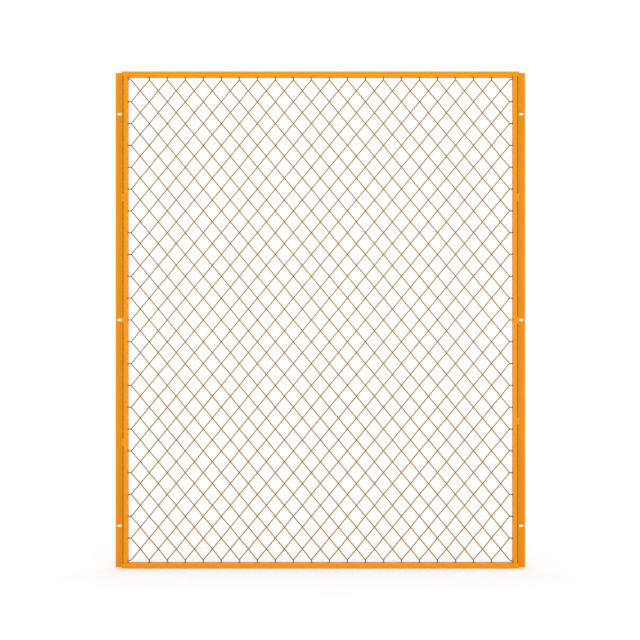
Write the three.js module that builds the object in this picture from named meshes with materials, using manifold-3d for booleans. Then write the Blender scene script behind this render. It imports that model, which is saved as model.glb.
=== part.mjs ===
// A bolt-on machine guard panel: woven diamond wire mesh, clinched into a welded frame of steel channel,
// with a slotted mounting angle stitch-welded along each side.
//
// Millimetres, +Z up. X runs across the panel, Y through its depth with the front facing -Y,
// and the origin is at the bottom centre. The flanges of the angles lie flush with the back.

import * as THREE from "three";
import { mergeVertices } from "three/addons/utils/BufferGeometryUtils.js";
import Module from "manifold-3d";

const wasm = await Module();
wasm.setup();

// ---------------------------------------------------------------- driving dimensions

const PANEL_WIDTH = 1219.2; // over the two angles' upright legs
const PANEL_HEIGHT = 1524;

const CHANNEL_WEB = 25.4; // the channel's web is the panel's depth
const STILE_LEG = 12.7;
const RAIL_LEG = 15.9;
const CHANNEL_WALL = 3.2;

const ANGLE_FLANGE = 25.4; // outward flange, measured from the inner face of the upright leg
const ANGLE_WALL = 3.2;
const SEAM = 2.4; // open joint between a stile's leg tips and the angle

const SLOT_LENGTH = 14.3; // for a 1/4 in bolt
const SLOT_HEIGHT = 6.35;
const SLOT_EDGE = 12.7; // slot centre to the flange's outer edge
const SLOT_FROM_END = 127; // first and last slot to the angle's ends; the third is midway

const WELD_LENGTH = 22;
const WELD_FROM_END = 386; // first and last stitch to the panel's ends; the third is midway
const LOW_RIGHT_WELD = 452; // the right side's first stitch sits higher than the left's
const CORNER_WELD_SIZE = 4;

const WIRE_DIAMETER = 3.43; // 10 gauge
const DIAMOND_WIDTH = 55.4; // pitch of the crossings along X
const DIAMOND_HEIGHT = 67.1; // pitch of the crossings along Z
const LEAST_STUB = 7; // the shortest straight end between the last crossing and a web
const CORNER_HOLE_INSET = 5; // centre of a corner hole to the face of the rail
const TAIL_LENGTH = 10; // clinched end inside the channel

const FIT = 0.3; // gap between pieces that touch
const HOLE_CLEARANCE = 0.6; // round the wires in a punched hole
const WIRE_BITE = 0.1; // how far two wires of one strand press into each other where they share a hole
const MOST_STRANDS = 44; // the wires are grouped into no more strands than this
const LOOSE_HOLE = 2; // counted up each stile from the lattice's corner: the wires in it aren't joined

const COAT_ORANGE = 0xf6961e;
const COAT_SHADED = 0xa8690f;

// ---------------------------------------------------------------- derived dimensions

const HALF_WIDTH = PANEL_WIDTH / 2;
const HALF_DEPTH = CHANNEL_WEB / 2;
const STILE_TIP = HALF_WIDTH - ANGLE_WALL - SEAM; // |x| of the stiles' leg tips
const CLEAR_HALF_WIDTH = STILE_TIP - STILE_LEG; // |x| of the stiles' webs, on the mesh side
const CLEAR_BOTTOM = RAIL_LEG;
const CLEAR_TOP = PANEL_HEIGHT - RAIL_LEG;
const MID_HEIGHT = PANEL_HEIGHT / 2;

const COLUMNS = Math.floor((2 * CLEAR_HALF_WIDTH - 2 * LEAST_STUB) / DIAMOND_WIDTH);
const ROWS = Math.floor((CLEAR_TOP - CLEAR_BOTTOM - 2 * LEAST_STUB) / DIAMOND_HEIGHT);
const MESH_LEFT = (-COLUMNS * DIAMOND_WIDTH) / 2;
const MESH_TOP = MID_HEIGHT + (ROWS * DIAMOND_HEIGHT) / 2;

// A wire is a six-sided bar with the round wire's own cross-section area, flat towards the front and back.
const WIRE_RADIUS = (WIRE_DIAMETER / 2) * Math.sqrt((2 * Math.PI) / (3 * Math.sqrt(3)));
const WIRE_HALF_THICKNESS = WIRE_RADIUS * Math.cos(Math.PI / 6);
const LAYER = WIRE_HALF_THICKNESS + FIT / 2; // depth of each layer of wires from the mid plane
const PRESSED_LAYER = WIRE_HALF_THICKNESS - WIRE_BITE;
const HOLE_HALF_WIDTH = WIRE_RADIUS + HOLE_CLEARANCE;
const HOLE_HALF_DEPTH = LAYER + WIRE_HALF_THICKNESS + HOLE_CLEARANCE;

// ---------------------------------------------------------------- solids and meshes

const coat = new THREE.MeshStandardMaterial({ color: COAT_ORANGE, roughness: 0.45, metalness: 0 });
const wireCoat = new THREE.MeshStandardMaterial({ color: COAT_SHADED, roughness: 0.5, metalness: 0 });

/** Turns a closed geometry into a solid that can be joined and cut. */
function solidOf(geometry) {
  const bare = geometry.index ? geometry.toNonIndexed() : geometry.clone();
  bare.deleteAttribute("normal");
  bare.deleteAttribute("uv");
  const merged = mergeVertices(bare, 1e-4);
  const vertProperties = merged.getAttribute("position").array;
  const triVerts = new Uint32Array(merged.index.array);
  return new wasm.Manifold(new wasm.Mesh({ numProp: 3, vertProperties, triVerts }));
}

/** Turns a solid back into a flat-shaded geometry. */
function geometryOf(solid) {
  const { vertProperties, triVerts } = solid.getMesh();
  const indexed = new THREE.BufferGeometry();
  indexed.setAttribute("position", new THREE.BufferAttribute(new Float32Array(vertProperties), 3));
  indexed.setIndex(new THREE.BufferAttribute(new Uint32Array(triVerts), 1));
  const faceted = indexed.toNonIndexed();
  faceted.computeVertexNormals();
  return faceted;
}

/** Cuts every hole out of a geometry. */
function cut(geometry, holes) {
  return geometryOf(holes.reduce((solid, hole) => solid.subtract(solidOf(hole)), solidOf(geometry)));
}

/** Extrudes a closed outline, given as [x, y] corners, along +Z. */
function prism(corners, length) {
  const outline = new THREE.Shape(corners.map(([x, y]) => new THREE.Vector2(x, y)));
  return new THREE.ExtrudeGeometry(outline, { depth: length, bevelEnabled: false });
}

function named(name, geometry, material) {
  const mesh = new THREE.Mesh(geometry, material);
  mesh.name = name;
  return mesh;
}

// ---------------------------------------------------------------- channels

/** A punched hole for a pair of wires, through a web that lies at x = 0, at height z along the channel. */
function webHole(z) {
  const chamfer = HOLE_HALF_WIDTH / 2;
  const corners = [];
  for (const [sx, sy] of [[1, 1], [-1, 1], [-1, -1], [1, -1]]) {
    const side = [sx * HOLE_HALF_WIDTH, sy * (HOLE_HALF_DEPTH - chamfer)];
    const end = [sx * (HOLE_HALF_WIDTH - chamfer), sy * HOLE_HALF_DEPTH];
    corners.push(...(sx === sy ? [side, end] : [end, side]));
  }
  const hole = prism(corners, 3 * CHANNEL_WALL);
  hole.rotateY(Math.PI / 2);
  hole.translate(-CHANNEL_WALL, 0, z);
  return hole;
}

/** A channel along Z, centred on the origin, its web's face at x = 0 and its legs pointing to +X. */
function channel(length, leg, holeHeights) {
  const inner = HALF_DEPTH - CHANNEL_WALL;
  const profile = [
    [0, -HALF_DEPTH],
    [leg, -HALF_DEPTH],
    [leg, -inner],
    [CHANNEL_WALL, -inner],
    [CHANNEL_WALL, inner],
    [leg, inner],
    [leg, HALF_DEPTH],
    [0, HALF_DEPTH],
  ];
  const bar = prism(profile, length);
  bar.translate(0, 0, -length / 2);
  return cut(bar, holeHeights.map(webHole));
}

/** Two upright channels with their webs towards the mesh, standing between the rails. */
function makeStiles() {
  const length = CLEAR_TOP - CLEAR_BOTTOM - 2 * FIT;
  const holes = [];
  for (let row = 1; row < ROWS; row++) holes.push(latticePoint(0, row).z - MID_HEIGHT);
  const cornerHole = cornerWireHeight() - MID_HEIGHT;
  holes.push(cornerHole, -cornerHole);

  const right = named("right_stile", channel(length, STILE_LEG, holes), coat);
  right.position.set(CLEAR_HALF_WIDTH, 0, MID_HEIGHT);
  const left = named("left_stile", channel(length, STILE_LEG, holes), coat);
  left.rotation.z = Math.PI;
  left.position.set(-CLEAR_HALF_WIDTH, 0, MID_HEIGHT);
  return [left, right];
}

/** Two level channels, from one mounting angle to the other, closing the frame over the stiles' ends. */
function makeRails() {
  const length = PANEL_WIDTH - 2 * (ANGLE_WALL + FIT);
  const holes = [];
  for (let column = 1; column < COLUMNS; column++) holes.push(latticePoint(column, 0).x);

  const top = named("top_rail", channel(length, RAIL_LEG, holes), coat);
  top.rotation.y = -Math.PI / 2;
  top.position.set(0, 0, CLEAR_TOP);
  const bottom = named("bottom_rail", channel(length, RAIL_LEG, holes), coat);
  bottom.rotation.y = Math.PI / 2;
  bottom.position.set(0, 0, CLEAR_BOTTOM);
  return [top, bottom];
}

// ---------------------------------------------------------------- mounting angles

/** A bolt slot through the flange, its length across the panel. */
function boltSlot(x, z) {
  const end = SLOT_HEIGHT / 2;
  const reach = SLOT_LENGTH / 2 - end;
  const outline = new THREE.Shape();
  outline.absarc(reach, 0, end, -Math.PI / 2, Math.PI / 2, false);
  outline.absarc(-reach, 0, end, Math.PI / 2, (3 * Math.PI) / 2, false);
  const depth = 3 * ANGLE_WALL;
  const slot = new THREE.ExtrudeGeometry(outline, { depth, bevelEnabled: false, curveSegments: 6 });
  slot.rotateX(Math.PI / 2);
  slot.translate(x, HALF_DEPTH + ANGLE_WALL, z);
  return slot;
}

/** The angle on one side (-1 left, 1 right): an upright leg across the depth and an outward flange. */
function mountingAngle(side) {
  const legInner = side * (HALF_WIDTH - ANGLE_WALL);
  const legOuter = side * HALF_WIDTH;
  const flangeTip = legInner + side * ANGLE_FLANGE;
  const flangeFront = HALF_DEPTH - ANGLE_WALL;
  const profile = [
    [legInner, -HALF_DEPTH],
    [legOuter, -HALF_DEPTH],
    [legOuter, flangeFront],
    [flangeTip, flangeFront],
    [flangeTip, HALF_DEPTH],
    [legInner, HALF_DEPTH],
  ];
  const slotX = flangeTip - side * SLOT_EDGE;
  const slotHeights = [SLOT_FROM_END, MID_HEIGHT, PANEL_HEIGHT - SLOT_FROM_END];
  return cut(prism(profile, PANEL_HEIGHT), slotHeights.map((z) => boltSlot(slotX, z)));
}

function makeAngles() {
  return [
    named("left_mounting_angle", mountingAngle(-1), coat),
    named("right_mounting_angle", mountingAngle(1), coat),
  ];
}

// ---------------------------------------------------------------- welds

/** A stitch of weld metal that fills the seam, flush with the front face. */
function stitchWeld(name, side, height) {
  const near = side * (STILE_TIP + FIT);
  const far = side * (STILE_TIP + SEAM - FIT);
  const root = -HALF_DEPTH + CHANNEL_WALL;
  const bead = prism([[near, -HALF_DEPTH], [far, -HALF_DEPTH], [far, root], [near, root]], WELD_LENGTH);
  const mesh = named(name, bead, coat);
  mesh.position.z = height - WELD_LENGTH / 2;
  return mesh;
}

/** A fillet across the trough of a rail (end 1 top, -1 bottom), where it meets the mounting angle. */
function cornerWeld(name, side, end) {
  const x = side * (HALF_WIDTH - ANGLE_WALL - FIT);
  const z = end * (MID_HEIGHT - RAIL_LEG + CHANNEL_WALL + FIT);
  const corner = [x, z];
  const along = [x - side * CORNER_WELD_SIZE, z];
  const up = [x, z + end * CORNER_WELD_SIZE];
  const length = CHANNEL_WEB - 2 * (CHANNEL_WALL + FIT);
  const mesh = named(name, prism([corner, along, up], length), coat);
  mesh.rotation.x = Math.PI / 2;
  mesh.position.set(0, length / 2, MID_HEIGHT);
  return mesh;
}

function makeWelds() {
  return [
    stitchWeld("left_weld_lower", -1, WELD_FROM_END),
    stitchWeld("left_weld_middle", -1, MID_HEIGHT),
    stitchWeld("left_weld_upper", -1, PANEL_HEIGHT - WELD_FROM_END),
    stitchWeld("right_weld_lower", 1, LOW_RIGHT_WELD),
    stitchWeld("right_weld_middle", 1, MID_HEIGHT),
    stitchWeld("right_weld_upper", 1, PANEL_HEIGHT - WELD_FROM_END),
    cornerWeld("top_left_corner_weld", -1, 1),
    cornerWeld("top_right_corner_weld", 1, 1),
    cornerWeld("bottom_left_corner_weld", -1, -1),
    cornerWeld("bottom_right_corner_weld", 1, -1),
  ];
}

// ---------------------------------------------------------------- woven mesh

/** A crossing of the lattice: columns count from the left and rows from the top. */
function latticePoint(column, row) {
  return new THREE.Vector3(MESH_LEFT + column * DIAMOND_WIDTH, 0, MESH_TOP - row * DIAMOND_HEIGHT);
}

/** How far, in diamonds, a corner wire runs on past its corner of the lattice. */
function cornerRunOn() {
  const toRail = (CLEAR_TOP - CORNER_HOLE_INSET - MESH_TOP) / DIAMOND_HEIGHT;
  const toStile = (CLEAR_HALF_WIDTH + MESH_LEFT - CORNER_HOLE_INSET) / DIAMOND_WIDTH;
  return Math.min(toRail, toStile);
}

function cornerWireHeight() {
  return MESH_TOP + cornerRunOn() * DIAMOND_HEIGHT;
}

/**
 * One wire: it enters the lattice at a column and row of the boundary and runs right, and down if its
 * slope is 1 or up if it is -1, to the far boundary. Falling wires lie in front, rising ones behind.
 */
function makeWire(column, row, slope) {
  const length = Math.min(COLUMNS - column, slope > 0 ? ROWS - row : row);
  return {
    layer: -slope,
    ends: [
      { column, row, heading: [-1, slope] },
      { column: column + length, row: row + slope * length, heading: [1, -slope] },
    ],
  };
}

function layOutWires() {
  const wires = [];
  for (let row = ROWS - 1; row >= 0; row--) wires.push(makeWire(0, row, 1));
  for (let column = 1; column < COLUMNS; column++) wires.push(makeWire(column, 0, 1));
  for (let row = 1; row <= ROWS; row++) wires.push(makeWire(0, row, -1));
  for (let column = 1; column < COLUMNS; column++) wires.push(makeWire(column, ROWS, -1));
  return wires;
}

const holeKey = (end) => end.column + "," + end.row;

/**
 * Every hole but the corner ones holds the ends of two wires, so the wires form chains from hole to hole.
 * This follows each chain, corner to corner first, and returns lists of wires in their order on the chain.
 */
function chainWires(wires) {
  const atHole = new Map();
  for (const wire of wires) {
    for (const end of wire.ends) atHole.set(holeKey(end), [...(atHole.get(holeKey(end)) ?? []), wire]);
  }
  const isChainEnd = (wire) => wire.ends.some((end) => atHole.get(holeKey(end)).length === 1);
  const used = new Set();
  const chains = [];
  for (const start of [...wires.filter(isChainEnd), ...wires]) {
    const chain = [];
    let wire = start;
    while (wire && !used.has(wire)) {
      used.add(wire);
      chain.push(wire);
      const neighbours = wire.ends.flatMap((end) => atHole.get(holeKey(end)));
      wire = neighbours.find((other) => !used.has(other));
    }
    if (chain.length) chains.push(chain);
  }
  return chains;
}

/** Whether two wires share a hole in which they may be joined. */
function canJoin(wire, other) {
  const isLoose = (end) => end.row === ROWS - LOOSE_HOLE && (end.column === 0 || end.column === COLUMNS);
  const keys = wire.ends.filter((end) => !isLoose(end)).map(holeKey);
  return other.ends.some((end) => keys.includes(holeKey(end)));
}

/** The bends of one end of a wire, from its last crossing to the tip of its clinched tail. */
function endPoints(end, layer, pressed) {
  const isSide = end.column === 0 || end.column === COLUMNS;
  const isCorner = isSide && (end.row === 0 || end.row === ROWS);
  const level = new THREE.Vector3(end.heading[0], 0, 0);
  const upright = new THREE.Vector3(0, 0, end.heading[1]);
  const [outward, along] = isSide ? [level, upright] : [upright, level];
  const merge = latticePoint(end.column, end.row);
  if (isCorner) {
    merge.x += end.heading[0] * cornerRunOn() * DIAMOND_WIDTH;
    merge.z += end.heading[1] * cornerRunOn() * DIAMOND_HEIGHT;
    along.negate();
  }
  const webFace = isSide ? CLEAR_HALF_WIDTH : CLEAR_TOP - MID_HEIGHT;
  const reached = isSide ? Math.abs(merge.x) : Math.abs(merge.z - MID_HEIGHT);
  const toBend = webFace - reached + CHANNEL_WALL + FIT + WIRE_RADIUS;

  merge.y = layer * LAYER;
  const bend = merge.clone().addScaledVector(outward, toBend);
  const points = [merge];
  if (pressed) {
    bend.y = layer * PRESSED_LAYER;
    points.push(bend.clone().addScaledVector(outward, -toBend / 2));
  }
  points.push(bend, bend.clone().addScaledVector(along, TAIL_LENGTH));
  return points;
}

/** A path of straight stretches in the panel's plane, with a mitred section at each bend. */
class WirePath extends THREE.Curve {
  constructor(points) {
    super();
    this.points = points;
  }

  getPointAt(u, target = new THREE.Vector3()) {
    return target.copy(this.points[Math.round(u * (this.points.length - 1))]);
  }

  computeFrenetFrames(segments) {
    const frames = { tangents: [], normals: [], binormals: [] };
    const depth = new THREE.Vector3(0, 1, 0);
    for (let i = 0; i <= segments; i++) {
      const before = this.direction(Math.max(i - 1, 0));
      const after = this.direction(Math.min(i, segments - 1));
      const tangent = before.clone().add(after).normalize();
      const stretch = 1 / tangent.dot(before);
      frames.tangents.push(tangent);
      frames.normals.push(new THREE.Vector3().crossVectors(depth, tangent).multiplyScalar(stretch));
      frames.binormals.push(depth.clone());
    }
    return frames;
  }

  /** Direction of one stretch, seen from the front. */
  direction(stretch) {
    const step = this.points[stretch + 1].clone().sub(this.points[stretch]);
    step.y = 0;
    return step.normalize();
  }
}

/** One wire as a solid bar, brought in to the mid plane in the holes where it presses on its neighbour. */
function wireGeometry(wire, pressedHoles) {
  const [first, last] = wire.ends.map((end) => endPoints(end, wire.layer, pressedHoles.has(holeKey(end))));
  const points = [...first.reverse(), ...last];
  const section = new THREE.Shape();
  for (let corner = 0; corner < 6; corner++) {
    const angle = (corner * Math.PI) / 3;
    const place = [WIRE_RADIUS * Math.cos(angle), WIRE_RADIUS * Math.sin(angle)];
    if (corner) section.lineTo(...place);
    else section.moveTo(...place);
  }
  section.closePath();
  const extrudePath = new WirePath(points);
  return new THREE.ExtrudeGeometry(section, { steps: points.length - 1, extrudePath });
}

/** Wires that follow each other on a chain, joined where they press together in the holes they share. */
function strandGeometry(wires) {
  const keys = wires.flatMap((wire) => wire.ends.map(holeKey));
  const shared = new Set(keys.filter((key, i) => keys.indexOf(key) !== i));
  const solids = wires.map((wire) => solidOf(wireGeometry(wire, shared)));
  return geometryOf(solids.reduce((joined, solid) => joined.add(solid)));
}

function makeMesh() {
  const wires = layOutWires();
  const looseHoles = 2; // one in each stile, and each can part a strand in two
  const strandSize = Math.ceil(wires.length / (MOST_STRANDS - looseHoles));
  const strands = [];
  for (const chain of chainWires(wires)) {
    chain.forEach((wire, i) => {
      const joined = i % strandSize > 0 && canJoin(chain[i - 1], wire);
      if (joined) strands.at(-1).push(wire);
      else strands.push([wire]);
    });
  }
  return strands.map((strand, i) => {
    const name = "woven_wires_" + String(i + 1).padStart(2, "0");
    return named(name, strandGeometry(strand), wireCoat);
  });
}

// ---------------------------------------------------------------- assembly

const frame = new THREE.Group();
frame.add(...makeStiles(), ...makeRails(), ...makeAngles(), ...makeWelds());

const mesh = new THREE.Group();
mesh.add(...makeMesh());

const group = new THREE.Group();
group.add(frame, mesh);

export default group;
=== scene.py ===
"""A woven wire mesh guard panel: a welded channel frame, punched and clinched round its wires, with a
slotted mounting angle stitch-welded along each side. Metres, +Z up, front facing -Y."""

from __future__ import annotations

import logging
import math
from dataclasses import dataclass, field
from enum import Enum
from typing import Callable, ClassVar

import bmesh
import bpy
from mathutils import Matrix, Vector


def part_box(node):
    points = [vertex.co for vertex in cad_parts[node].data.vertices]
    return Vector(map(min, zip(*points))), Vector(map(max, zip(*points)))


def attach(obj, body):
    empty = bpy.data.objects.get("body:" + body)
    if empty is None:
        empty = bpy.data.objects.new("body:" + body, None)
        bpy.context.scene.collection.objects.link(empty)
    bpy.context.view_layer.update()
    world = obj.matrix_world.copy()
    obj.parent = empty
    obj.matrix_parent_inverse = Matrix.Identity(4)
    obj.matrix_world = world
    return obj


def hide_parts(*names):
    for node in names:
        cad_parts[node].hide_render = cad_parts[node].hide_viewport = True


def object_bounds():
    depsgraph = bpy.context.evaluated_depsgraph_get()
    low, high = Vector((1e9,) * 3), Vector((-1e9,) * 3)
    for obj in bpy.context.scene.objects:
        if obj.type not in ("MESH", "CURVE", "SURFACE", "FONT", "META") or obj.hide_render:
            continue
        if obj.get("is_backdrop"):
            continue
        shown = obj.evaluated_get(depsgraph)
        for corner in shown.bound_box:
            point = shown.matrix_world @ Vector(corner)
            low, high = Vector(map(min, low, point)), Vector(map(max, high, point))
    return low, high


LOG = logging.getLogger("guard_panel")
MM = 0.001
WALL = 3.2 * MM  # of every channel and angle
TOUCHING = 0.01 * MM  # corners nearer than this are taken as one
RIM_FLATS = 2  # across a rounded rim
BODY = "root"

CornerTest = Callable[[Vector], bool]


class Turn(Enum):
    """Half turns that carry one quarter of the panel onto another."""

    OVER = "Y"  # about the axis through the panel: left and top onto right and bottom
    ABOUT = "Z"  # about the upright axis: front onto back
    DOWN = "X"  # about the level axis: top onto bottom, front onto back


# ---------------------------------------------------------------- hand tools


class Bench:
    """Hand tools that work on one object at a time through Blender's own operators."""

    @staticmethod
    def pick(piece: bpy.types.Object) -> None:
        """Selects one object, makes it active and lets go of everything else.

        Args:
            piece: The object to work on.
        """
        bpy.ops.object.select_all(action="DESELECT")
        piece.select_set(True)
        bpy.context.view_layer.objects.active = piece

    @staticmethod
    def open_edges(piece: bpy.types.Object) -> None:
        """Starts editing the piece's edges, with nothing selected.

        Args:
            piece: The object to edit.
        """
        Bench.pick(piece)
        bpy.ops.object.mode_set(mode="EDIT")
        bpy.ops.mesh.select_mode(type="EDGE")
        bpy.ops.mesh.select_all(action="DESELECT")

    @staticmethod
    def close() -> None:
        """Goes back to whole objects."""
        bpy.ops.object.mode_set(mode="OBJECT")

    @staticmethod
    def choose(piece: bpy.types.Object, test: CornerTest) -> None:
        """Selects the edges whose two corners both pass a test, and nothing else.

        Args:
            piece: The object that is being edited.
            test: Says whether a corner belongs.
        """
        bpy.ops.mesh.select_all(action="DESELECT")
        mesh = bmesh.from_edit_mesh(piece.data)
        for edge in mesh.edges:
            if all(test(corner.co) for corner in edge.verts):
                edge.select_set(True)
        bmesh.update_edit_mesh(piece.data)

    @staticmethod
    def cut_across(piece: bpy.types.Object, point: Vector, normal: Vector) -> None:
        """Adds a line of edges all round the piece where a plane crosses it.

        Args:
            piece: The object that is being edited.
            point: A point on the plane.
            normal: The plane's normal.
        """
        bpy.ops.mesh.select_all(action="SELECT")
        bpy.ops.mesh.bisect(plane_co=point, plane_no=normal)
        bpy.ops.mesh.select_all(action="DESELECT")

    @staticmethod
    def extrude(step: Vector) -> None:
        """Extrudes what is selected.

        Args:
            step: How far, and which way.
        """
        bpy.ops.mesh.extrude_region_move(TRANSFORM_OT_translate={"value": step})

    @staticmethod
    def round_edges(piece: bpy.types.Object, test: CornerTest, radius: float, segments: int) -> None:
        """Rounds the edges whose two corners both pass a test.

        Args:
            piece: The object that is being edited.
            test: Says whether a corner belongs.
            radius: The rounding's width.
            segments: How many flats the rounding has.
        """
        Bench.choose(piece, test)
        bpy.ops.mesh.bevel(offset=radius, segments=segments, affect="EDGES", clamp_overlap=True)

    @staticmethod
    def face_outwards() -> None:
        """Turns every face of the piece that is being edited outwards."""
        bpy.ops.mesh.select_all(action="SELECT")
        bpy.ops.mesh.normals_make_consistent(inside=False)

    @staticmethod
    def apply(piece: bpy.types.Object, kind: str, **settings: object) -> None:
        """Adds a modifier to the piece and applies it.

        Args:
            piece: The object to change.
            kind: Blender's name for the type of modifier.
            **settings: The modifier's settings.
        """
        Bench.pick(piece)
        modifier = piece.modifiers.new(kind.lower(), kind)
        for name, value in settings.items():
            setattr(modifier, name, value)
        bpy.ops.object.modifier_apply(modifier=modifier.name)

    @staticmethod
    def copy(piece: bpy.types.Object, name: str) -> bpy.types.Object:
        """Copies a piece, with its own mesh.

        Args:
            piece: The object to copy.
            name: The copy's name.

        Returns:
            The copy.
        """
        made = piece.copy()
        made.data = piece.data.copy()
        made.name = name
        made.data.name = name
        bpy.context.scene.collection.objects.link(made)
        return made

    @staticmethod
    def settle(piece: bpy.types.Object) -> None:
        """Puts the piece's place and turn into its mesh.

        Args:
            piece: The object to settle.
        """
        Bench.pick(piece)
        bpy.ops.object.transform_apply(location=True, rotation=True, scale=True)

    @staticmethod
    def turned(piece: bpy.types.Object, name: str, turn: Turn, centre: Vector) -> bpy.types.Object:
        """Copies a piece and gives the copy a half turn.

        Args:
            piece: The object to copy.
            name: The copy's name.
            turn: Which half turn.
            centre: The point that stays in place.

        Returns:
            The turned copy.
        """
        made = Bench.copy(piece, name)
        Bench.pick(made)
        bpy.ops.transform.rotate(value=math.pi, orient_axis=turn.value, center_override=centre)
        Bench.settle(made)
        return made

    @staticmethod
    def join(pieces: list[bpy.types.Object]) -> bpy.types.Object:
        """Joins pieces into the first of them.

        Args:
            pieces: The objects to join.

        Returns:
            The joined object.
        """
        Bench.pick(pieces[0])
        for piece in pieces:
            piece.select_set(True)
        bpy.ops.object.join()
        Bench.settle(pieces[0])
        return pieces[0]

    @staticmethod
    def smooth(piece: bpy.types.Object, degrees: float) -> None:
        """Shades the piece smooth, but for edges sharper than an angle.

        Args:
            piece: The object to shade.
            degrees: The angle.
        """
        Bench.pick(piece)
        bpy.ops.object.shade_smooth_by_angle(angle=math.radians(degrees))


# ---------------------------------------------------------------- finishes


@dataclass(frozen=True)
class PowderCoat:
    """Baked powder coat: an even colour, a fine orange-peel skin and a soft, slightly uneven sheen."""

    name: str
    colour: tuple[float, float, float]
    shade: float  # how much darker its darkest cloud is, as a share
    cloud_size: float  # metres, as are the peel's size and height
    peel_size: float
    peel_height: float
    roughness: tuple[float, float]  # least and most
    specular: float
    patches_per_cloud: int = 3  # patches of uneven sheen along one cloud
    cloud_octaves: float = 3.0
    patch_octaves: float = 2.0
    peel_octaves: float = 1.0

    def make(self) -> bpy.types.Material:
        """Makes the material.

        Returns:
            The material, its patterns on object coordinates.
        """
        material = bpy.data.materials.new(self.name)
        material.use_nodes = True
        nodes, links = material.node_tree.nodes, material.node_tree.links
        shader = nodes["Principled BSDF"]
        place = nodes.new("ShaderNodeTexCoord")
        shader.inputs["Specular IOR Level"].default_value = self.specular
        shader.inputs["Metallic"].default_value = 0.0

        clouds = self._noise(nodes, links, place, 1 / self.cloud_size, self.cloud_octaves)
        tint = nodes.new("ShaderNodeMix")
        tint.data_type = "RGBA"
        tint.inputs["A"].default_value = (*(c * (1 - self.shade) for c in self.colour), 1.0)
        tint.inputs["B"].default_value = (*self.colour, 1.0)
        links.new(clouds.outputs["Fac"], tint.inputs["Factor"])
        links.new(tint.outputs["Result"], shader.inputs["Base Color"])

        sheen = nodes.new("ShaderNodeMapRange")
        sheen.inputs["To Min"].default_value = self.roughness[0]
        sheen.inputs["To Max"].default_value = self.roughness[1]
        patch_scale = self.patches_per_cloud / self.cloud_size
        patches = self._noise(nodes, links, place, patch_scale, self.patch_octaves)
        links.new(patches.outputs["Fac"], sheen.inputs["Value"])
        links.new(sheen.outputs["Result"], shader.inputs["Roughness"])

        peel = self._noise(nodes, links, place, 1 / self.peel_size, self.peel_octaves)
        bump = nodes.new("ShaderNodeBump")
        bump.inputs["Distance"].default_value = self.peel_height
        links.new(peel.outputs["Fac"], bump.inputs["Height"])
        links.new(bump.outputs["Normal"], shader.inputs["Normal"])
        return material

    @staticmethod
    def _noise(
        nodes: bpy.types.Nodes,
        links: bpy.types.NodeLinks,
        place: bpy.types.Node,
        scale: float,
        detail: float,
    ) -> bpy.types.Node:
        """Adds a noise pattern on object coordinates.

        Args:
            nodes: The material's nodes.
            links: The material's links.
            place: The texture coordinates.
            scale: Cells per metre.
            detail: Octaves.

        Returns:
            The noise node.
        """
        noise = nodes.new("ShaderNodeTexNoise")
        noise.inputs["Scale"].default_value = scale
        noise.inputs["Detail"].default_value = detail
        links.new(place.outputs["Object"], noise.inputs["Vector"])
        return noise


@dataclass(frozen=True)
class StudioFloor:
    """Plain matt white."""

    name: str = "studio_floor"
    white: float = 0.96

    def make(self) -> bpy.types.Material:
        """Makes the floor's material.

        Returns:
            The material.
        """
        material = bpy.data.materials.new(self.name)
        material.use_nodes = True
        shader = material.node_tree.nodes["Principled BSDF"]
        shader.inputs["Base Color"].default_value = (self.white, self.white, self.white, 1.0)
        shader.inputs["Roughness"].default_value = 1.0
        shader.inputs["Specular IOR Level"].default_value = 0.0
        return material


ORANGE = PowderCoat(
    name="orange_powder_coat",
    colour=(0.79, 0.288, 0.003),
    shade=0.07,
    cloud_size=0.16,
    peel_size=0.0022,
    peel_height=0.00012,
    roughness=(0.36, 0.5),
    specular=0.12,
)
WELD_ORANGE = PowderCoat(
    name="orange_coat_over_weld",
    colour=(0.76, 0.275, 0.003),
    shade=0.10,
    cloud_size=0.006,
    peel_size=0.0011,
    peel_height=0.00006,
    roughness=(0.32, 0.5),
    specular=0.15,
)
# The wires have the frame's orange coat. Their colour is darkened to golden brown as painted shade,
# standing in for the shading of thin round wires.
WIRE_ORANGE_PAINTED_SHADE = PowderCoat(
    name="orange_wire_coat_painted_shade",
    colour=(0.395, 0.195, 0.002),
    shade=0.20,
    cloud_size=0.035,
    peel_size=0.0014,
    peel_height=0.00003,
    roughness=(0.38, 0.55),
    specular=0.15,
)


# ---------------------------------------------------------------- what the frame says


@dataclass(frozen=True)
class Layout:
    """The panel's places, read from the frame."""

    centre: Vector
    stile_low: Vector  # the right stile's box
    stile_high: Vector
    rail_low: Vector  # the top rail's box
    rail_high: Vector
    angle_low: Vector  # the right angle's box
    angle_high: Vector

    @classmethod
    def read(cls) -> Layout:
        """Reads the boxes of the right stile, the top rail and the right angle.

        Returns:
            The layout.
        """
        low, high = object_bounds()
        centre = (Vector(low) + Vector(high)) / 2
        boxes = [Vector(corner) for name in ("right_stile", "top_rail", "right_mounting_angle")
                 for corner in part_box(name)]
        return cls(centre, *boxes)

    @property
    def half_depth(self) -> float:
        """Half the panel's depth."""
        return self.rail_high.y


# ---------------------------------------------------------------- frame


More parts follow.
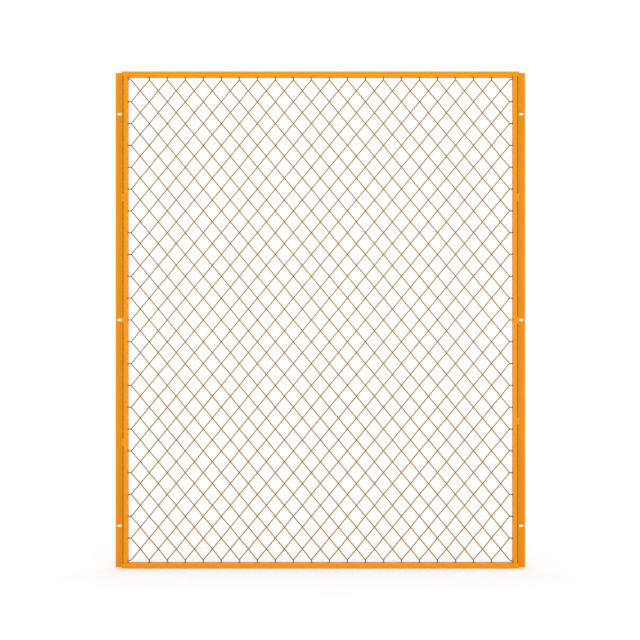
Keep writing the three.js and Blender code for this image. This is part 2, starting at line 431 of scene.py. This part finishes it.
@dataclass
class Punch:
    """A row of round-ended pins that punch slots through a wall."""

    end_radius: float
    half_length: float
    quarter_turns: str  # the axes about which a pin is turned, from lying along X and pointing up
    depth: float = 4 * WALL  # enough to stand out of a wall on both sides
    sides: int = 24
    sharp: ClassVar[float] = 50  # degrees from which an edge is rounded
    smooth: ClassVar[float] = 40  # degrees up to which an edge is shaded smooth

    def make(self, places: list[Vector]) -> bpy.types.Object:
        """Makes one pin, shapes it and copies it to every place.

        Args:
            places: The pins' centres.

        Returns:
            The pins, joined.
        """
        bpy.ops.mesh.primitive_cylinder_add(
            vertices=self.sides,
            radius=self.end_radius,
            depth=self.depth,
            rotation=(0, 0, math.pi / self.sides),
        )
        pin = bpy.context.object
        Bench.settle(pin)
        Bench.open_edges(pin)
        for side in (-1, 1):
            Bench.choose(pin, lambda corner: side * corner.x > 0)
            stretch = Vector((side * (self.half_length - self.end_radius), 0, 0))
            bpy.ops.transform.translate(value=stretch)
        Bench.close()
        for axis in self.quarter_turns:
            Bench.pick(pin)
            bpy.ops.transform.rotate(value=math.pi / 2, orient_axis=axis, center_override=(0, 0, 0))
            Bench.settle(pin)
        pins = []
        for place in places:
            copy = Bench.copy(pin, "punch")
            copy.location = place
            pins.append(copy)
        bpy.data.objects.remove(pin)
        return Bench.join(pins)

    @staticmethod
    def drive(punch: bpy.types.Object, piece: bpy.types.Object, rim: float) -> None:
        """Cuts the pins out of a piece, and rounds the rims and whatever other edges are still sharp.

        Args:
            punch: The pins, which are used up.
            piece: The piece to punch.
            rim: The rounding's width.
        """
        Bench.apply(piece, "BOOLEAN", operation="DIFFERENCE", object=punch, solver="EXACT")
        bpy.data.objects.remove(punch)
        sharp = math.radians(Punch.sharp)
        Bench.apply(
            piece, "BEVEL", width=rim, segments=RIM_FLATS, limit_method="ANGLE", angle_limit=sharp
        )
        Bench.smooth(piece, Punch.smooth)


@dataclass
class Section:
    """A rolled section, pulled out of a flat drawing and rounded along its length."""

    rounding: list[tuple[float, float, float]]  # x, y and radius of each long edge
    flats: int = 3
    in_line: float = 1  # degrees between faces that are taken as one

    @staticmethod
    def start(name: str, low: Vector, high: Vector) -> bpy.types.Object:
        """Draws a flat rectangle.

        Args:
            name: The piece's name.
            low: The rectangle's lowest corner.
            high: The rectangle's highest corner, at the same height.

        Returns:
            The rectangle.
        """
        bpy.ops.mesh.primitive_plane_add(size=1, location=(low + high) / 2)
        piece = bpy.context.object
        piece.name = name
        piece.data.name = name
        piece.scale = (high.x - low.x, high.y - low.y, 1)
        Bench.settle(piece)
        Bench.open_edges(piece)
        return piece

    def pull(self, piece: bpy.types.Object, length: float) -> None:
        """Extrudes the drawing upwards, rounds its long edges and stops editing.

        Args:
            piece: The drawing, being edited.
            length: The bar's length.
        """
        bpy.ops.mesh.select_all(action="SELECT")
        Bench.extrude(Vector((0, 0, length)))
        bpy.ops.mesh.select_all(action="SELECT")
        bpy.ops.mesh.dissolve_limited(angle_limit=math.radians(self.in_line))
        Bench.face_outwards()
        for x, y, radius in self.rounding:
            Bench.round_edges(piece, self.on_line(x, y), radius, self.flats)
        Bench.face_outwards()
        Bench.close()

    @staticmethod
    def on_line(x: float, y: float) -> CornerTest:
        """Says whether a corner stands on the upright line through x and y."""
        return lambda corner: math.hypot(corner.x - x, corner.y - y) < TOUCHING


@dataclass
class Channel:
    """A punched channel on end: its web's face at x = 0, its legs pointing to +X, centred on the origin."""

    length: float
    half_depth: float
    leg: float
    holes: list[float]  # heights of the holes
    wall: float = WALL
    fillet: float = 1.6 * MM
    heel: float = 0.9 * MM
    toe: float = 0.7 * MM
    rim: float = 0.35 * MM
    hole_half_width: float = 2.49 * MM
    hole_half_depth: float = 4.02 * MM

    def make(self, name: str) -> bpy.types.Object:
        """Draws the section, pulls it out to length, rounds it and punches it.

        Args:
            name: The piece's name.

        Returns:
            The channel.
        """
        half, inner = self.half_depth, self.half_depth - self.wall
        bottom = -self.length / 2
        piece = Section.start(name, Vector((0, -half, bottom)), Vector((self.wall, half, bottom)))
        for side in (-1, 1):
            Bench.cut_across(piece, Vector((0, side * inner, 0)), Vector((0, 1, 0)))
        for side in (-1, 1):
            Bench.choose(piece, lambda c: c.x > self.wall / 2 and side * c.y > inner - self.toe)
            Bench.extrude(Vector((self.leg - self.wall, 0, 0)))
        rounding = [
            (x, side * y, radius)
            for x, y, radius in (
                (self.wall, inner, self.fillet),
                (0, half, self.heel),
                (self.leg, half, self.toe),
                (self.leg, inner, self.toe),
            )
            for side in (-1, 1)
        ]
        Section(rounding).pull(piece, self.length)
        punch = Punch(self.hole_half_width, self.hole_half_depth, "ZY")
        Punch.drive(punch.make([Vector((0, 0, height)) for height in self.holes]), piece, self.rim)
        return piece


@dataclass
class MountingAngle:
    """The right-hand angle: an upright leg across the depth, and a slotted flange outwards at the back."""

    low: Vector
    high: Vector
    wall: float = WALL
    fillet: float = 2.6 * MM
    heel: float = 0.8 * MM
    toe: float = 1.3 * MM
    square: float = 0.5 * MM
    rim: float = 0.35 * MM
    slot_half_length: float = 7.15 * MM
    slot_half_height: float = 3.175 * MM
    slot_edge: float = 12.7 * MM
    slot_from_end: float = 127 * MM

    def make(self, name: str) -> bpy.types.Object:
        """Draws the section, pulls it up, rounds it as rolled steel is and punches the slots.

        Args:
            name: The piece's name.

        Returns:
            The angle.
        """
        outer, flange = self.low.x + self.wall, self.high.y - self.wall
        piece = Section.start(name, self.low, Vector((outer, self.high.y, self.low.z)))
        Bench.cut_across(piece, Vector((0, flange, 0)), Vector((0, 1, 0)))
        middle = (self.low.x + outer) / 2
        Bench.choose(piece, lambda c: c.x > middle and c.y > flange - self.square)
        Bench.extrude(Vector((self.high.x - outer, 0, 0)))
        rounding = [
            (outer, flange, self.fillet),
            (self.low.x, self.high.y, self.heel),
            (outer, self.low.y, self.toe),
            (self.low.x, self.low.y, self.square),
            (self.high.x, flange, self.toe),
            (self.high.x, self.high.y, self.square),
        ]
        Section(rounding).pull(piece, self.high.z - self.low.z)
        heights = (
            self.low.z + self.slot_from_end,
            (self.low.z + self.high.z) / 2,
            self.high.z - self.slot_from_end,
        )
        x = self.high.x - self.slot_edge
        punch = Punch(self.slot_half_height, self.slot_half_length, "X")
        Punch.drive(punch.make([Vector((x, self.high.y, z)) for z in heights]), piece, self.rim)
        return piece


@dataclass
class WeldBead:
    """A rippled run of weld metal, standing upright and centred on the origin."""

    length: float
    half_width: float
    half_height: float
    ripple: float = 2.0 * MM
    dip: float = 0.8  # size of a valley beside a crest
    tip: float = 0.55  # size of an end beside a crest
    climb: float = 1 / 4  # share of a ripple that rises from its valley
    crest: float = 1 / 3  # share of a ripple that stays at its crest
    sides: int = 16
    smooth: float = 60  # degrees

    def make(self, name: str) -> bpy.types.Object:
        """Pulls a small ellipse up through crests and valleys, and closes both ends.

        Args:
            name: The piece's name.

        Returns:
            The bead.
        """
        count = round(self.length / self.ripple)
        pitch = self.length / count
        bpy.ops.mesh.primitive_circle_add(
            vertices=self.sides, radius=1, fill_type="NGON", location=(0, 0, -self.length / 2)
        )
        bead = bpy.context.object
        bead.name = name
        bead.data.name = name
        bead.scale = (self.half_width * self.tip, self.half_height * self.tip, 1)
        Bench.settle(bead)
        Bench.open_edges(bead)
        bpy.ops.mesh.select_all(action="SELECT")
        self._rise(pitch * self.climb, self.dip / self.tip)
        for _ in range(count - 1):
            self._rise(pitch * self.climb, 1 / self.dip)
            self._rise(pitch * self.crest, 1)
            self._rise(pitch * (1 - self.climb - self.crest), self.dip)
        self._rise(pitch * (1 - self.climb), self.tip / self.dip)
        Bench.face_outwards()
        Bench.close()
        Bench.smooth(bead, self.smooth)
        return bead

    @staticmethod
    def _rise(step: float, growth: float) -> None:
        """Extrudes the bead's top upwards and resizes it.

        Args:
            step: How far it rises.
            growth: How many times wider it gets.
        """
        Bench.extrude(Vector((0, 0, step)))
        if growth != 1:
            bpy.ops.transform.resize(value=(growth, growth, 1), center_override=(0, 0, 0))


@dataclass
class WeldedFrame:
    """The four channels, the two mounting angles and the welds between them."""

    layout: Layout
    mesh: WovenMesh
    stitch_half_width: float = 2.3 * MM
    stitch_half_height: float = 1.25 * MM
    stitch_sink: float = 0.05 * MM  # how far a stitch lies behind the front face
    corner_share: float = 0.8  # a corner bead's half width, as a share of its fillet
    corner_ripple: float = 2.2 * MM
    pieces: list[bpy.types.Object] = field(default_factory=list)

    def build(self) -> None:
        """Builds every piece of the frame and dresses it."""
        coat, weld_coat = ORANGE.make(), WELD_ORANGE.make()
        for piece in (*self._stiles(), *self._rails(), *self._angles()):
            finish(piece, coat, piece.name.removesuffix("_bar"))
            self.pieces.append(piece)
        for piece in (*self._stitches(), *self._corner_welds()):
            finish(piece, weld_coat, piece.name.removesuffix("_bead"))
            self.pieces.append(piece)

    def _stiles(self) -> list[bpy.types.Object]:
        """Makes the right stile between the rails, and turns a copy over for the left one."""
        layout = self.layout
        low, high = layout.stile_low, layout.stile_high
        length = 2 * (layout.rail_low.z - layout.centre.z)
        heights = [z - layout.centre.z for z in self.mesh.side_hole_heights()]
        stile = Channel(length, layout.half_depth, high.x - low.x, heights).make("right_stile_bar")
        stile.location = (low.x, 0, layout.centre.z)
        Bench.settle(stile)
        return [stile, Bench.turned(stile, "left_stile_bar", Turn.OVER, layout.centre)]

    def _rails(self) -> list[bpy.types.Object]:
        """Makes the top rail from angle to angle, and turns a copy over for the bottom one."""
        layout = self.layout
        low, high = layout.rail_low, layout.rail_high
        length = 2 * (layout.angle_low.x - layout.centre.x)
        places = [x - layout.centre.x for x in self.mesh.rail_hole_places()]
        rail = Channel(length, layout.half_depth, high.z - low.z, places).make("top_rail_bar")
        rail.rotation_euler = (0, -math.pi / 2, 0)
        rail.location = (layout.centre.x, 0, low.z)
        Bench.settle(rail)
        return [rail, Bench.turned(rail, "bottom_rail_bar", Turn.OVER, layout.centre)]

    def _angles(self) -> list[bpy.types.Object]:
        """Makes the right angle, and turns a copy over for the left one."""
        angle = MountingAngle(self.layout.angle_low, self.layout.angle_high)
        right = angle.make("right_mounting_angle_bar")
        return [right, Bench.turned(right, "left_mounting_angle_bar", Turn.OVER, self.layout.centre)]

    def _stitches(self) -> list[bpy.types.Object]:
        """Makes one stitch bead and lays a copy where each stitch weld is."""
        low, high = (Vector(corner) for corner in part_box("right_weld_middle"))
        bead = WeldBead(high.z - low.z, self.stitch_half_width, self.stitch_half_height)
        pattern = bead.make("stitch")
        beads = []
        for side in ("left", "right"):
            for level in ("lower", "middle", "upper"):
                low, high = (Vector(corner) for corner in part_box(f"{side}_weld_{level}"))
                copy = Bench.copy(pattern, f"{side}_weld_{level}_bead")
                y = low.y + self.stitch_half_height + self.stitch_sink
                copy.location = ((low.x + high.x) / 2, y, (low.z + high.z) / 2)
                Bench.settle(copy)
                beads.append(copy)
        bpy.data.objects.remove(pattern)
        return beads

    def _corner_welds(self) -> list[bpy.types.Object]:
        """Makes the bead across the top rail's right end, and turns copies for the other corners."""
        low, high = (Vector(corner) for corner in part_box("top_right_corner_weld"))
        size = (high.z - low.z) * self.corner_share
        bead = WeldBead(high.y - low.y, size, size, self.corner_ripple)
        right = bead.make("top_right_corner_weld_bead")
        right.rotation_euler = (math.pi / 2, 0, 0)
        right.location = (high.x, 0, low.z)
        Bench.settle(right)
        centre = self.layout.centre
        return [
            right,
            Bench.turned(right, "top_left_corner_weld_bead", Turn.ABOUT, centre),
            Bench.turned(right, "bottom_right_corner_weld_bead", Turn.DOWN, centre),
            Bench.turned(right, "bottom_left_corner_weld_bead", Turn.OVER, centre),
        ]


# ---------------------------------------------------------------- woven mesh


@dataclass
class WovenMesh:
    """Round wires, woven over and under each other on a diamond lattice and clinched into the frame."""

    layout: Layout
    columns: int = 21
    rows: int = 22
    diamond_width: float = 55.4 * MM
    diamond_height: float = 67.1 * MM
    wire_radius: float = 1.715 * MM
    crimp: float = 1.73 * MM  # how far a wire swings from the mid plane
    wall: float = WALL
    bend_radius: float = 9.0 * MM
    corner_radius: float = 15.0 * MM  # the bend of a wire that runs on into a corner
    bend_steps: int = 5
    clinch_radius: float = 3.4 * MM
    clinch_steps: int = 6
    clinch_gap: float = 2.2 * MM  # from the web to the centre of a clinched tail
    tail: float = 10 * MM
    tail_rim: float = 0.35 * MM
    corner_inset: float = 5 * MM
    sides: int = 12
    steps: int = 10  # rings in one wave of a wire
    smooth: float = 50  # degrees
    pieces: list[bpy.types.Object] = field(default_factory=list)

    @property
    def right(self) -> float:
        """X of the lattice's last column of crossings."""
        return self.layout.centre.x + self.columns * self.diamond_width / 2

    @property
    def top(self) -> float:
        """Z of the lattice's first row of crossings."""
        return self.layout.centre.z + self.rows * self.diamond_height / 2

    @property
    def run_on(self) -> float:
        """How far, in diamonds, a corner wire runs on past its corner of the lattice."""
        to_rail = (self.layout.rail_low.z - self.corner_inset - self.top) / self.diamond_height
        to_stile = (self.layout.stile_low.x - self.corner_inset - self.right) / self.diamond_width
        return min(to_rail, to_stile)

    def crossing(self, column: float, row: float) -> Vector:
        """Gives a crossing's place on the mid plane.

        Args:
            column: Diamonds from the left.
            row: Diamonds from the top.

        Returns:
            The place.
        """
        x = self.right - (self.columns - column) * self.diamond_width
        return Vector((x, self.layout.centre.y, self.top - row * self.diamond_height))

    def side_hole_heights(self) -> list[float]:
        """Gives the heights of a stile's holes, with its two corner holes last."""
        corner = self.top + self.run_on * self.diamond_height
        heights = [self.crossing(0, row).z for row in range(1, self.rows)]
        return [*heights, corner, 2 * self.layout.centre.z - corner]

    def rail_hole_places(self) -> list[float]:
        """Gives X of a rail's holes."""
        return [self.crossing(column, 0).x for column in range(1, self.columns)]

    def build(self) -> None:
        """Makes one wire of each length, and turns copies of it for the other three of that length."""
        # The wire coat's darkened colour is painted shade on orange wires.
        coat = WIRE_ORANGE_PAINTED_SHADE.make()
        owners = self._owners()
        for length in range(1, self.columns + 1):
            start = self.columns - length
            falling = self._falling_wire(start, length, f"falling_wire_{start + self.rows:02d}")
            others = (
                (Turn.OVER, f"falling_wire_{length:02d}", (-1, self.rows - length)),
                (Turn.ABOUT, f"rising_wire_{length:02d}", (-1, length)),
                (Turn.DOWN, f"rising_wire_{2 * self.rows - 1 - length:02d}", (1, self.rows - length)),
            )
            made = [(falling, (1, length))]
            for turn, name, hole in others:
                made.append((Bench.turned(falling, name, turn, self.layout.centre), hole))
            for wire, hole in made:
                finish(wire, coat, owners[(*hole, wire.name.startswith("falling"))])
                self.pieces.append(wire)

    def _owners(self) -> dict[tuple[int, int, bool], str]:
        """Finds which CAD node's wires are clinched in each hole of the stiles.

        Returns:
            The node's name for each side (-1 left, 1 right), row, and whether the wire falls to the right
            and so lies in front.
        """
        owners = {}
        for name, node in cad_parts.items():
            if not name.startswith("woven_wires"):
                continue
            for corner in node.data.vertices:
                row = round((self.top - corner.co.z) / self.diamond_height)
                if abs(corner.co.x) > self.layout.stile_low.x and 0 < row < self.rows:
                    owners[(1 if corner.co.x > 0 else -1, row, corner.co.y < 0)] = name
        return owners

    def _falling_wire(self, column: int, length: int, name: str) -> bpy.types.Object:
        """Makes a wire that falls to the right from the top row to the right-hand column.

        Args:
            column: The column where it starts.
            length: How many diamonds it crosses.
            name: The piece's name.

        Returns:
            The wire.
        """
        fall = Vector((self.diamond_width, 0, -self.diamond_height))
        heading = fall.normalized()
        front = Vector((0, -self.crimp, 0))
        first = self.crossing(column, 0) + front
        wire = self._wave(first, fall, name)
        Bench.apply(
            wire,
            "ARRAY",
            count=length,
            use_relative_offset=False,
            use_constant_offset=True,
            constant_offset_displace=fall,
            use_merge_vertices=True,
            merge_threshold=TOUCHING,
        )
        last = first + length * fall
        left, right = Vector((-1, 0, 0)), Vector((1, 0, 0))
        up, down = Vector((0, 0, 1)), Vector((0, 0, -1))
        Bench.open_edges(wire)
        self._clinch(wire, last, heading, right, down, 0)
        if column == 0:
            self._clinch(wire, first, -heading, left, down, self.run_on * fall.length)
        else:
            self._clinch(wire, first, -heading, up, left, 0)
        Bench.face_outwards()
        Bench.close()
        Bench.smooth(wire, self.smooth)
        return wire

    def _wave(self, first: Vector, fall: Vector, name: str) -> bpy.types.Object:
        """Pulls a ring through one wave, from the front of one crossing to the front of the next.

        Args:
            first: The ring's centre.
            fall: The way from one crossing to the next but one, which is a whole wave.
            name: The piece's name.

        Returns:
            An open tube.
        """
        tilt = math.atan2(fall.x, fall.z)
        bpy.ops.mesh.primitive_circle_add(
            vertices=self.sides, radius=self.wire_radius, location=first, rotation=(0, tilt, 0)
        )
        wire = bpy.context.object
        wire.name = name
        wire.data.name = name
        Bench.settle(wire)
        Bench.open_edges(wire)
        bpy.ops.mesh.select_all(action="SELECT")
        depth = [-self.crimp * math.cos(2 * math.pi * k / self.steps) for k in range(self.steps + 1)]
        for before, after in zip(depth, depth[1:]):
            Bench.extrude(fall / self.steps + Vector((0, after - before, 0)))
        Bench.close()
        return wire

    def _clinch(
        self,
        wire: bpy.types.Object,
        merge: Vector,
        heading: Vector,
        outward: Vector,
        tail: Vector,
        run_on: float,
    ) -> None:
        """Bends a wire's open end square to the web, takes it through the hole and folds its tail over.

        Args:
            wire: The wire, being edited.
            merge: Where the end is.
            heading: The way the end points.
            outward: The way through the web.
            tail: The way that the tail is folded.
            run_on: How far the wire runs on past the crossing.
        """
        web = self.layout.stile_low.x if outward.x else self.layout.rail_low.z - self.layout.centre.z
        corner = merge + heading * run_on
        reached = abs((corner - self.layout.centre).dot(outward))
        turn = heading.angle(outward)
        radius = self.corner_radius if run_on else self.bend_radius
        back = radius * math.tan(turn / 2)
        Bench.choose(wire, lambda c: (c - merge).length < 2 * self.wire_radius)
        bpy.ops.transform.translate(value=heading * (run_on - back))
        self._bend(corner - heading * back, heading, outward, turn, radius, self.bend_steps)
        to_fold = web - reached + self.wall + self.clinch_gap
        Bench.extrude(outward * (to_fold - back - self.clinch_radius))
        fold_start = corner + outward * (to_fold - self.clinch_radius)
        self._bend(fold_start, outward, tail, math.pi / 2, self.clinch_radius, self.clinch_steps)
        Bench.extrude(tail * (self.tail - self.clinch_radius))
        bpy.ops.mesh.edge_face_add()
        bpy.ops.mesh.bevel(offset=self.tail_rim, segments=RIM_FLATS, affect="EDGES")

    @staticmethod
    def _bend(
        start: Vector, heading: Vector, towards: Vector, angle: float, radius: float, steps: int
    ) -> None:
        """Spins the selected ring round a bend.

        Args:
            start: The ring's centre.
            heading: The way the ring faces.
            towards: The way that it turns to.
            angle: How far it turns.
            radius: The bend's radius.
            steps: How many stretches the bend has.
        """
        inward = (towards - heading * towards.dot(heading)).normalized()
        axis = inward.cross(heading)
        bpy.ops.mesh.spin(steps=steps, angle=angle, center=start + inward * radius, axis=axis)


# ---------------------------------------------------------------- studio


@dataclass
class Studio:
    """A white floor, a white surround, one soft key light in front of the panel, and the camera."""

    layout: Layout
    floor_size: float = 16.0  # metres, as are the key light's size and place and the distance
    surround: float = 1.06
    key_power: float = 24.0
    key_size: float = 2.0
    key_place: tuple[float, float, float] = (0.3, -3.8, 1.0)
    distance: float = 3.5
    lens: float = 64.24  # millimetres
    aside: tuple[float, float] = (-1.2 * MM, -0.2 * MM)  # the camera, right of and above the centre

    def build(self) -> None:
        """Sets the floor, the lights and the camera."""
        bpy.ops.mesh.primitive_plane_add(size=self.floor_size, location=(0, 0, 0))
        floor = bpy.context.object
        floor.name = "studio_floor"
        floor.data.materials.append(StudioFloor().make())
        floor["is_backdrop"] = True

        scene = bpy.context.scene
        world = bpy.data.worlds.new("white_surround")
        world.use_nodes = True
        background = world.node_tree.nodes["Background"]
        background.inputs["Color"].default_value = (1, 1, 1, 1)
        background.inputs["Strength"].default_value = self.surround
        scene.world = world
        scene.view_settings.view_transform = "Standard"

        bpy.ops.object.light_add(type="AREA", location=self.key_place)
        key = bpy.context.object
        key.name = "key_light"
        key.data.shape = "DISK"
        key.data.size = self.key_size
        key.data.energy = self.key_power
        aim = self.layout.centre - Vector(self.key_place)
        key.rotation_euler = aim.to_track_quat("-Z", "Y").to_euler()

        front = self.layout.centre.y - self.layout.half_depth
        right, up = self.aside
        place = (self.layout.centre.x + right, front - self.distance, self.layout.centre.z + up)
        bpy.ops.object.camera_add(location=place, rotation=(math.pi / 2, 0, 0))
        camera = bpy.context.object
        camera.name = "camera"
        camera.data.lens = self.lens
        scene.camera = camera


# ---------------------------------------------------------------- assembly


def finish(piece: bpy.types.Object, material: bpy.types.Material, node: str) -> None:
    """Dresses a piece and ties it to the frame.

    Args:
        piece: The finished piece.
        material: Its material.
        node: The CAD node that it stands for.
    """
    piece.data.materials.clear()
    piece.data.materials.append(material)
    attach(piece, BODY)
    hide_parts(node)


def main() -> None:
    """Builds the panel's pieces in order and sets up the studio."""
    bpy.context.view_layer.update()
    bpy.ops.object.select_all(action="DESELECT")
    layout = Layout.read()
    mesh = WovenMesh(layout)
    frame = WeldedFrame(layout, mesh)
    frame.build()
    LOG.info("frame: %d pieces", len(frame.pieces))
    mesh.build()
    LOG.info("mesh: %d wires", len(mesh.pieces))
    Studio(layout).build()
    for piece in (*frame.pieces, *mesh.pieces):
        LOG.info("%s: %d faces", piece.name, len(piece.data.polygons))


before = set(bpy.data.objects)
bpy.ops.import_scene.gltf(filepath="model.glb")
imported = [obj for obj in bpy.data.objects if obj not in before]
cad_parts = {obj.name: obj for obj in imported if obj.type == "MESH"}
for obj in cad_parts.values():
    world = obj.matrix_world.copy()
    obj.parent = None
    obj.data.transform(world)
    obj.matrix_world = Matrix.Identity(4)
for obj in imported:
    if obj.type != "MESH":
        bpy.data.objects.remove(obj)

if __name__ == "__main__":
    logging.basicConfig(level=logging.INFO, format="%(name)s: %(message)s")
    main()
